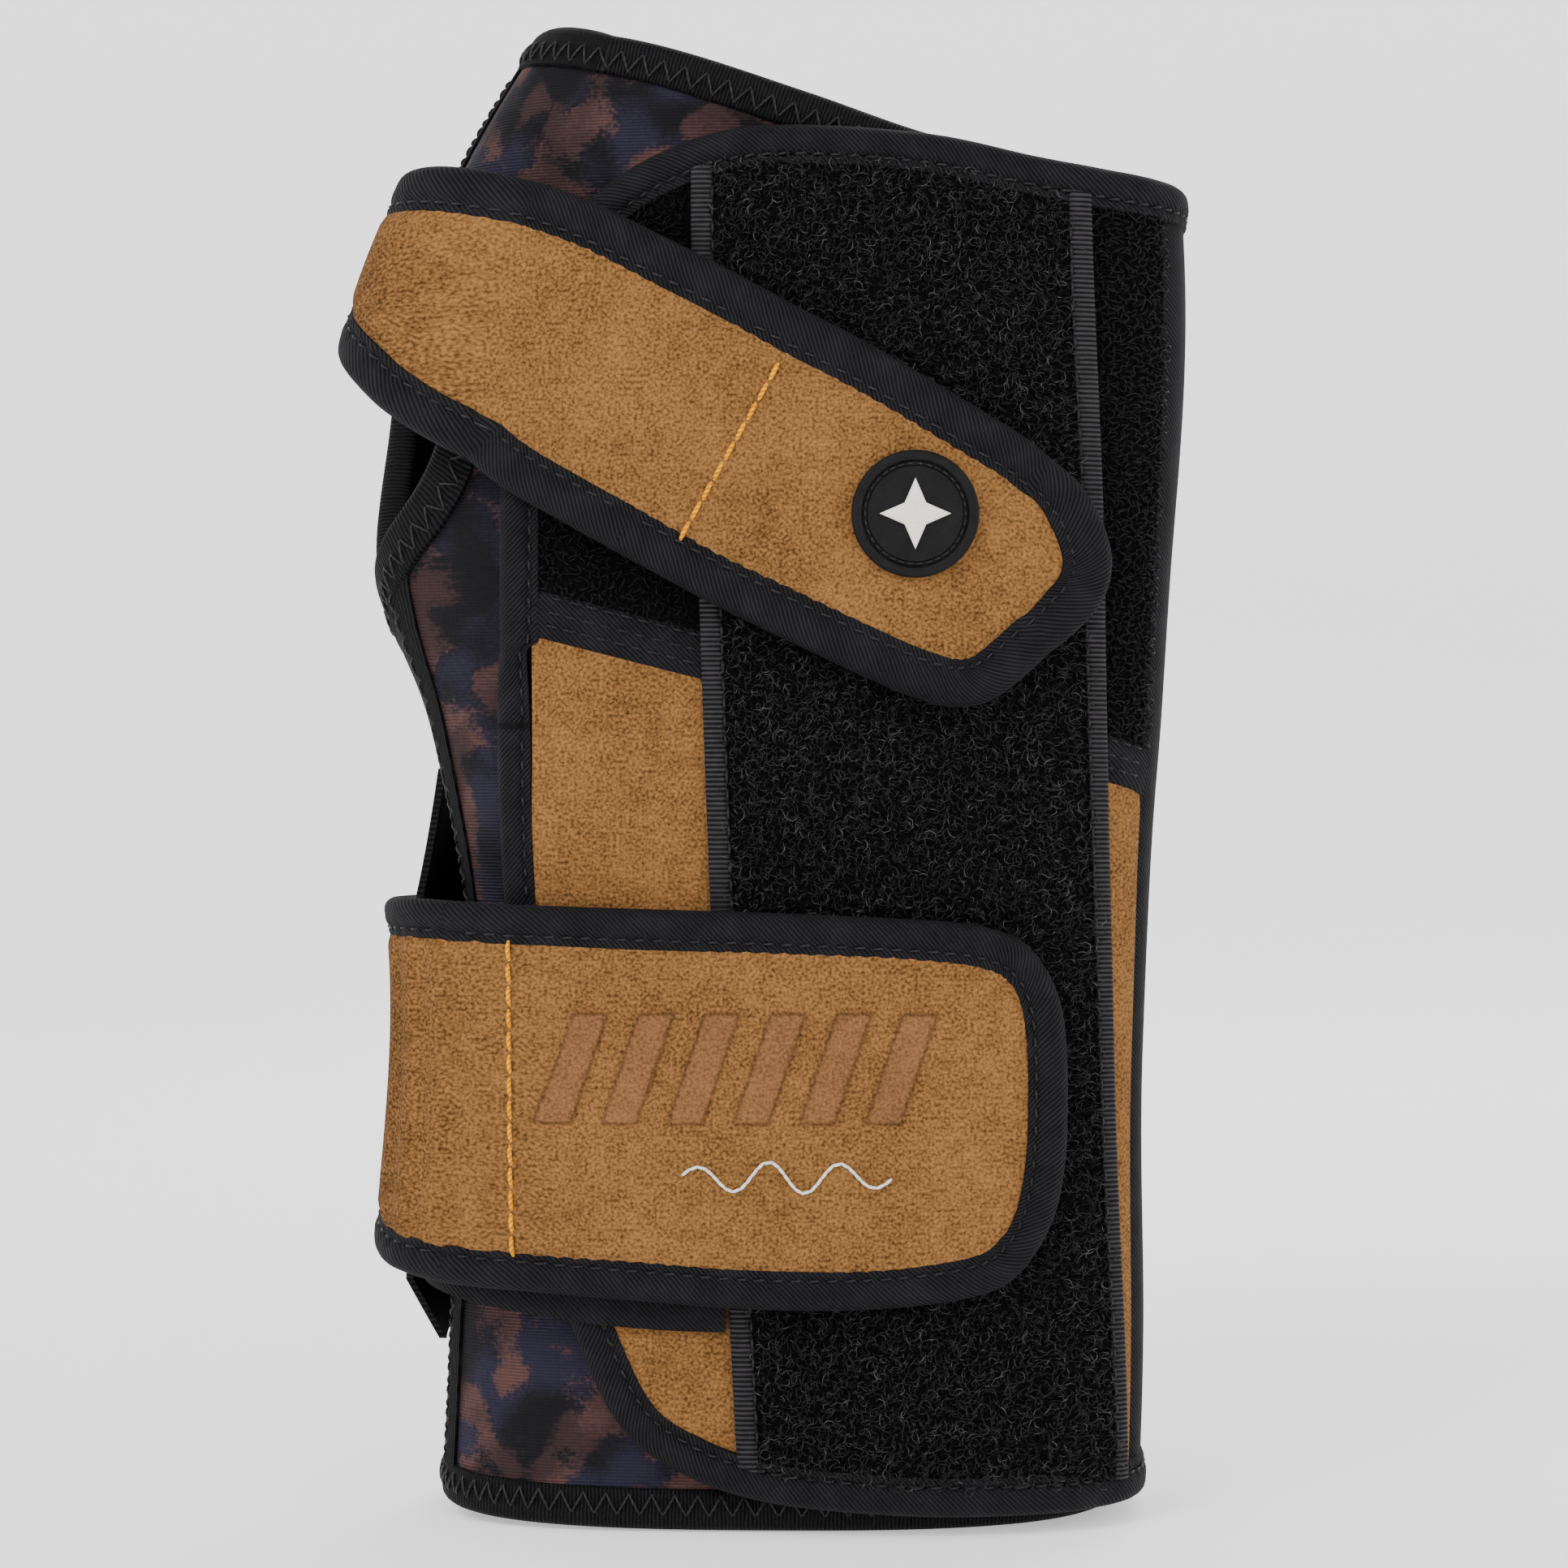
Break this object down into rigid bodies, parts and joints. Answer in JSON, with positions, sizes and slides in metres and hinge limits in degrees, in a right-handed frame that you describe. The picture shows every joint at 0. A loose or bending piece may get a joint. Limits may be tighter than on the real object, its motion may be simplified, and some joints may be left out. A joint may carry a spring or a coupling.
{
  "type": "wrist guard",
  "caption": "Long soft wrist guard: printed sleeve with a thumb hole, a suede and loop wrap panel, and two suede straps that peel open.",
  "frame": {"origin": "under the middle of the guard's box, on the plane of the cuff's rim", "axes": "+Z from the cuff to the fingers, -Y out of the closure side with the loop tape, -X to the thumb side"},
  "size_m": [0.1125, 0.0578, 0.1985],
  "materials": {
    "printed_neoprene": "knit-faced neoprene, dark navy with rust blotches",
    "ribbed_elastic": "ribbed folded elastic, zigzag stitched",
    "black_twill": "diagonal twill weave",
    "tan_suede": "brushed suede with a short nap",
    "unbroken_loop": "unbroken loop fabric of small curled loops",
    "loop_pile": "dense brushed loop pile between ribbed selvedges",
    "hook_tape": "moulded hook tape",
    "foam": "closed-cell foam",
    "splint_plastic": "moulded sheet",
    "badge_rubber": "moulded soft rubber, satin",
    "badge_mark_rubber": "moulded soft rubber, satin"
  },
  "bodies": {
    "root": {"liner_front_panel": "printed_neoprene", "liner_back_panel": "printed_neoprene", "hand_opening_binding": "ribbed_elastic", "cuff_binding": "ribbed_elastic", "thumb_hole_binding": "ribbed_elastic", "thumb_side_seam_tape": "ribbed_elastic", "hand_edge_tape": "ribbed_elastic", "wrap_lining": "black_twill", "wrap_foam": "foam", "dorsal_splint": "splint_plastic", "wrap_loop_panel": "unbroken_loop", "wrap_seam_band": "black_twill", "wrap_suede_panel": "tan_suede", "wrap_binding": "black_twill", "loop_tape": "loop_pile", "side_gusset": "black_twill", "cuff_elastic_band": "ribbed_elastic", "palm_base_panel": "unbroken_loop", "palm_splint": "splint_plastic", "palm_splint_pocket": "black_twill", "palm_foam_pad": "foam", "palm_suede_patch": "tan_suede", "palm_patch_binding": "black_twill", "upper_strap_anchor": "black_twill", "lower_strap_anchor": "black_twill", "upper_strap_root_suede": "tan_suede", "upper_strap_root_backing": "black_twill", "upper_strap_root_binding": "black_twill", "lower_strap_root_suede": "tan_suede", "lower_strap_root_backing": "black_twill", "lower_strap_root_binding": "black_twill"},
    "upper_strap_mid": {"upper_strap_mid_suede": "tan_suede", "upper_strap_mid_backing": "black_twill", "upper_strap_mid_binding": "black_twill"},
    "upper_strap_tip": {"upper_strap_tip_suede": "tan_suede", "upper_strap_tip_backing": "black_twill", "upper_strap_tip_binding": "black_twill", "upper_strap_hook_patch": "hook_tape", "badge": "badge_rubber", "badge_mark": "badge_mark_rubber"},
    "lower_strap_mid": {"lower_strap_mid_suede": "tan_suede", "lower_strap_mid_backing": "black_twill", "lower_strap_mid_binding": "black_twill"},
    "lower_strap_tip": {"lower_strap_tip_suede": "tan_suede", "lower_strap_tip_backing": "black_twill", "lower_strap_tip_binding": "black_twill", "lower_strap_hook_patch": "hook_tape"}
  },
  "joints": [
    {"name": "upper_strap_fold", "type": "hinge", "parent": "root", "child": "upper_strap_mid", "pos_m": [-0.05116, 0.0022, 0.1674], "axis": [-0.3356, 0, -0.942], "range_deg": [0, 120]},
    {"name": "upper_strap_peel", "type": "hinge", "parent": "upper_strap_mid", "child": "upper_strap_tip", "pos_m": [-0.00427, -0.0268, 0.1404], "axis": [-0.4759, -0.0086, -0.8794], "range_deg": [0, 75]},
    {"name": "lower_strap_fold", "type": "hinge", "parent": "root", "child": "lower_strap_mid", "pos_m": [-0.05255, 0.0022, 0.0586], "axis": [-0.0265, 0, -0.9996], "range_deg": [0, 120]},
    {"name": "lower_strap_peel", "type": "hinge", "parent": "lower_strap_mid", "child": "lower_strap_tip", "pos_m": [-0.03291, -0.02396, 0.05665], "axis": [0.0044, -0.0179, -0.9998], "range_deg": [0, 75]}
  ]
}
